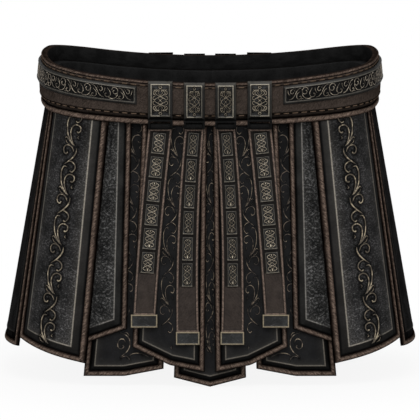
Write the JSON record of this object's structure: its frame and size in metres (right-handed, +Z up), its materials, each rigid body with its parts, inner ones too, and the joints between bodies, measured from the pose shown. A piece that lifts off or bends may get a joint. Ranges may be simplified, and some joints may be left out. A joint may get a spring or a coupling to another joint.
{
  "type": "fauld",
  "caption": "Waist belt with a flared skirt of steel-faced leather panels in layers and strap tongues with steel plaques.",
  "frame": {"origin": "centre of the waist opening, level with the belt's lower edge at the front", "axes": "+Z up, -Y to the wearer's front, X across the hips; the part is mirror-symmetric in X and in Y"},
  "size_m": [0.4446, 0.3316, 0.3426],
  "materials": {
    "belt_leather": "worn brown leather",
    "belt_piping": "rolled brown leather, scuffed",
    "hanging_band": "black lining leather",
    "panel_leather": "rolled brown leather, scuffed",
    "strap_leather": "brown strap leather",
    "dark_steel": "blackened steel, scrollwork in worn brass, scratched",
    "brushed_steel": "dark brushed steel with bright edges",
    "under_panel_steel": "blackened steel with engraved scrolls in a leather edge",
    "relief_steel": "dark relief steel with rubbed edges",
    "buckle_steel": "bevelled steel with knotwork in relief",
    "strap_steel": "bevelled steel plaques and tip",
    "black_iron": "blackened iron"
  },
  "bodies": {
    "belt": {"belt_leather": "belt_leather", "belt_welt": "belt_piping", "belt_piping": "belt_piping", "hanging_band": "hanging_band", "side_plates": "relief_steel", "buckle_plates": "buckle_steel", "strap_brackets": "black_iron", "strap_bars": "black_iron"},
    "front_left_panel": {"front_left_panel_leather": "panel_leather", "front_left_panel_plate": "dark_steel"},
    "front_left_corner_panel": {"front_left_corner_panel_leather": "panel_leather", "front_left_corner_panel_plate": "dark_steel"},
    "front_left_middle_panel": {"front_left_middle_panel_leather": "panel_leather", "front_left_middle_panel_plate": "brushed_steel"},
    "front_left_under_panel": {"front_left_under_panel": "under_panel_steel"},
    "front_left_outer_strap": {"front_left_outer_strap": "strap_leather", "front_left_outer_strap_fittings": "strap_steel"},
    "front_left_inner_strap": {"front_left_inner_strap": "strap_leather", "front_left_inner_strap_fittings": "strap_steel"},
    "front_right_panel": {"front_right_panel_leather": "panel_leather", "front_right_panel_plate": "dark_steel"},
    "front_right_corner_panel": {"front_right_corner_panel_leather": "panel_leather", "front_right_corner_panel_plate": "dark_steel"},
    "front_right_middle_panel": {"front_right_middle_panel_leather": "panel_leather", "front_right_middle_panel_plate": "brushed_steel"},
    "front_right_under_panel": {"front_right_under_panel": "under_panel_steel"},
    "front_right_outer_strap": {"front_right_outer_strap": "strap_leather", "front_right_outer_strap_fittings": "strap_steel"},
    "front_right_inner_strap": {"front_right_inner_strap": "strap_leather", "front_right_inner_strap_fittings": "strap_steel"},
    "back_left_panel": {"back_left_panel_leather": "panel_leather", "back_left_panel_plate": "dark_steel"},
    "back_left_corner_panel": {"back_left_corner_panel_leather": "panel_leather", "back_left_corner_panel_plate": "dark_steel"},
    "back_left_middle_panel": {"back_left_middle_panel_leather": "panel_leather", "back_left_middle_panel_plate": "brushed_steel"},
    "back_left_under_panel": {"back_left_under_panel": "under_panel_steel"},
    "back_left_outer_strap": {"back_left_outer_strap": "strap_leather", "back_left_outer_strap_fittings": "strap_steel"},
    "back_left_inner_strap": {"back_left_inner_strap": "strap_leather", "back_left_inner_strap_fittings": "strap_steel"},
    "back_right_panel": {"back_right_panel_leather": "panel_leather", "back_right_panel_plate": "dark_steel"},
    "back_right_corner_panel": {"back_right_corner_panel_leather": "panel_leather", "back_right_corner_panel_plate": "dark_steel"},
    "back_right_middle_panel": {"back_right_middle_panel_leather": "panel_leather", "back_right_middle_panel_plate": "brushed_steel"},
    "back_right_under_panel": {"back_right_under_panel": "under_panel_steel"},
    "back_right_outer_strap": {"back_right_outer_strap": "strap_leather", "back_right_outer_strap_fittings": "strap_steel"},
    "back_right_inner_strap": {"back_right_inner_strap": "strap_leather", "back_right_inner_strap_fittings": "strap_steel"},
    "left_side_panel": {"left_side_panel_leather": "panel_leather", "left_side_panel_plate": "dark_steel"},
    "left_side_under_panel": {"left_side_under_panel": "under_panel_steel"},
    "right_side_panel": {"right_side_panel_leather": "panel_leather", "right_side_panel_plate": "dark_steel"},
    "right_side_under_panel": {"right_side_under_panel": "under_panel_steel"},
    "front_centre_panel": {"front_centre_panel": "under_panel_steel"},
    "back_centre_panel": {"back_centre_panel": "under_panel_steel"}
  },
  "joints": [
    {"name": "front_left_panel_swing", "type": "hinge", "parent": "belt", "child": "front_left_panel", "pos_m": [-0.045, -0.1322, 0.001], "axis": [-1, 0, 0], "range_deg": [0, 25]},
    {"name": "front_left_corner_panel_swing", "type": "hinge", "parent": "belt", "child": "front_left_corner_panel", "pos_m": [-0.14975, -0.10396, 0.01182], "axis": [-0.7856, 0.6138, 0.0784], "range_deg": [0, 25]},
    {"name": "front_left_middle_panel_swing", "type": "hinge", "parent": "belt", "child": "front_left_middle_panel", "pos_m": [-0.10501, -0.11343, 0.00496], "axis": [-0.9907, 0.1146, 0.0736], "range_deg": [0, 15]},
    {"name": "front_left_under_panel_flex", "type": "hinge", "parent": "belt", "child": "front_left_under_panel", "pos_m": [-0.07557, -0.10682, 0.00285], "axis": [0.9948, -0.087, -0.0533], "range_deg": [0, 12], "stiffness_Nm_per_rad": 1, "springref_deg": -9.74},
    {"name": "front_left_outer_strap_swing", "type": "hinge", "parent": "front_left_panel", "child": "front_left_outer_strap", "pos_m": [-0.0533, -0.1322, 0.001], "axis": [-1, 0, 0], "range_deg": [0, 40]},
    {"name": "front_left_inner_strap_swing", "type": "hinge", "parent": "front_left_panel", "child": "front_left_inner_strap", "pos_m": [-0.0168, -0.1322, 0.001], "axis": [-1, 0, 0], "range_deg": [0, 40]},
    {"name": "front_right_panel_swing", "type": "hinge", "parent": "belt", "child": "front_right_panel", "pos_m": [0.045, -0.1322, 0.001], "axis": [-1, 0, 0], "range_deg": [0, 25]},
    {"name": "front_right_corner_panel_swing", "type": "hinge", "parent": "belt", "child": "front_right_corner_panel", "pos_m": [0.14975, -0.10396, 0.01182], "axis": [-0.7856, -0.6138, -0.0784], "range_deg": [0, 25]},
    {"name": "front_right_middle_panel_swing", "type": "hinge", "parent": "belt", "child": "front_right_middle_panel", "pos_m": [0.10501, -0.11343, 0.00496], "axis": [-0.9907, -0.1146, -0.0736], "range_deg": [0, 15]},
    {"name": "front_right_under_panel_flex", "type": "hinge", "parent": "belt", "child": "front_right_under_panel", "pos_m": [0.07557, -0.10682, 0.00285], "axis": [0.9948, 0.087, 0.0533], "range_deg": [0, 12], "stiffness_Nm_per_rad": 1, "springref_deg": -9.74},
    {"name": "front_right_outer_strap_swing", "type": "hinge", "parent": "front_right_panel", "child": "front_right_outer_strap", "pos_m": [0.0533, -0.1322, 0.001], "axis": [-1, 0, 0], "range_deg": [0, 40]},
    {"name": "front_right_inner_strap_swing", "type": "hinge", "parent": "front_right_panel", "child": "front_right_inner_strap", "pos_m": [0.0168, -0.1322, 0.001], "axis": [-1, 0, 0], "range_deg": [0, 40]},
    {"name": "back_left_panel_swing", "type": "hinge", "parent": "belt", "child": "back_left_panel", "pos_m": [-0.045, 0.1322, 0.001], "axis": [1, 0, 0], "range_deg": [0, 25]},
    {"name": "back_left_corner_panel_swing", "type": "hinge", "parent": "belt", "child": "back_left_corner_panel", "pos_m": [-0.14975, 0.10396, 0.01182], "axis": [0.7856, 0.6138, -0.0784], "range_deg": [0, 25]},
    {"name": "back_left_middle_panel_swing", "type": "hinge", "parent": "belt", "child": "back_left_middle_panel", "pos_m": [-0.10501, 0.11343, 0.00496], "axis": [0.9907, 0.1146, -0.0736], "range_deg": [0, 15]},
    {"name": "back_left_under_panel_flex", "type": "hinge", "parent": "belt", "child": "back_left_under_panel", "pos_m": [-0.07557, 0.10682, 0.00285], "axis": [-0.9948, -0.087, 0.0533], "range_deg": [0, 12], "stiffness_Nm_per_rad": 1, "springref_deg": -9.74},
    {"name": "back_left_outer_strap_swing", "type": "hinge", "parent": "back_left_panel", "child": "back_left_outer_strap", "pos_m": [-0.0533, 0.1322, 0.001], "axis": [1, 0, 0], "range_deg": [0, 40]},
    {"name": "back_left_inner_strap_swing", "type": "hinge", "parent": "back_left_panel", "child": "back_left_inner_strap", "pos_m": [-0.0168, 0.1322, 0.001], "axis": [1, 0, 0], "range_deg": [0, 40]},
    {"name": "back_right_panel_swing", "type": "hinge", "parent": "belt", "child": "back_right_panel", "pos_m": [0.045, 0.1322, 0.001], "axis": [1, 0, 0], "range_deg": [0, 25]},
    {"name": "back_right_corner_panel_swing", "type": "hinge", "parent": "belt", "child": "back_right_corner_panel", "pos_m": [0.14975, 0.10396, 0.01182], "axis": [0.7856, -0.6138, 0.0784], "range_deg": [0, 25]},
    {"name": "back_right_middle_panel_swing", "type": "hinge", "parent": "belt", "child": "back_right_middle_panel", "pos_m": [0.10501, 0.11343, 0.00496], "axis": [0.9907, -0.1146, 0.0736], "range_deg": [0, 15]},
    {"name": "back_right_under_panel_flex", "type": "hinge", "parent": "belt", "child": "back_right_under_panel", "pos_m": [0.07557, 0.10682, 0.00285], "axis": [-0.9948, 0.087, -0.0533], "range_deg": [0, 12], "stiffness_Nm_per_rad": 1, "springref_deg": -9.74},
    {"name": "back_right_outer_strap_swing", "type": "hinge", "parent": "back_right_panel", "child": "back_right_outer_strap", "pos_m": [0.0533, 0.1322, 0.001], "axis": [1, 0, 0], "range_deg": [0, 40]},
    {"name": "back_right_inner_strap_swing", "type": "hinge", "parent": "back_right_panel", "child": "back_right_inner_strap", "pos_m": [0.0168, 0.1322, 0.001], "axis": [1, 0, 0], "range_deg": [0, 40]},
    {"name": "left_side_panel_swing", "type": "hinge", "parent": "belt", "child": "left_side_panel", "pos_m": [-0.17814, 0, 0.014], "axis": [0, 1, 0], "range_deg": [0, 30]},
    {"name": "left_side_under_panel_flex", "type": "hinge", "parent": "belt", "child": "left_side_under_panel", "pos_m": [-0.15551, 0, 0.00898], "axis": [0, -1, 0], "range_deg": [0, 12], "stiffness_Nm_per_rad": 2.5, "springref_deg": -9.74},
    {"name": "right_side_panel_swing", "type": "hinge", "parent": "belt", "child": "right_side_panel", "pos_m": [0.17814, 0, 0.014], "axis": [0, -1, 0], "range_deg": [0, 30]},
    {"name": "right_side_under_panel_flex", "type": "hinge", "parent": "belt", "child": "right_side_under_panel", "pos_m": [0.15551, 0, 0.00898], "axis": [0, 1, 0], "range_deg": [0, 12], "stiffness_Nm_per_rad": 2.5, "springref_deg": -9.74},
    {"name": "front_centre_panel_flex", "type": "hinge", "parent": "belt", "child": "front_centre_panel", "pos_m": [0, -0.11091, 0.00073], "axis": [1, 0, 0], "range_deg": [0, 12], "stiffness_Nm_per_rad": 1, "springref_deg": -9.74},
    {"name": "back_centre_panel_flex", "type": "hinge", "parent": "belt", "child": "back_centre_panel", "pos_m": [0, 0.11091, 0.00073], "axis": [-1, 0, 0], "range_deg": [0, 12], "stiffness_Nm_per_rad": 1, "springref_deg": -9.74}
  ],
  "couplings": [
    {"joint": "front_left_middle_panel_swing", "follows": "front_left_corner_panel_swing", "ratio": 0.6},
    {"joint": "front_right_middle_panel_swing", "follows": "front_right_corner_panel_swing", "ratio": 0.6},
    {"joint": "back_left_middle_panel_swing", "follows": "back_left_corner_panel_swing", "ratio": 0.6},
    {"joint": "back_right_middle_panel_swing", "follows": "back_right_corner_panel_swing", "ratio": 0.6}
  ]
}
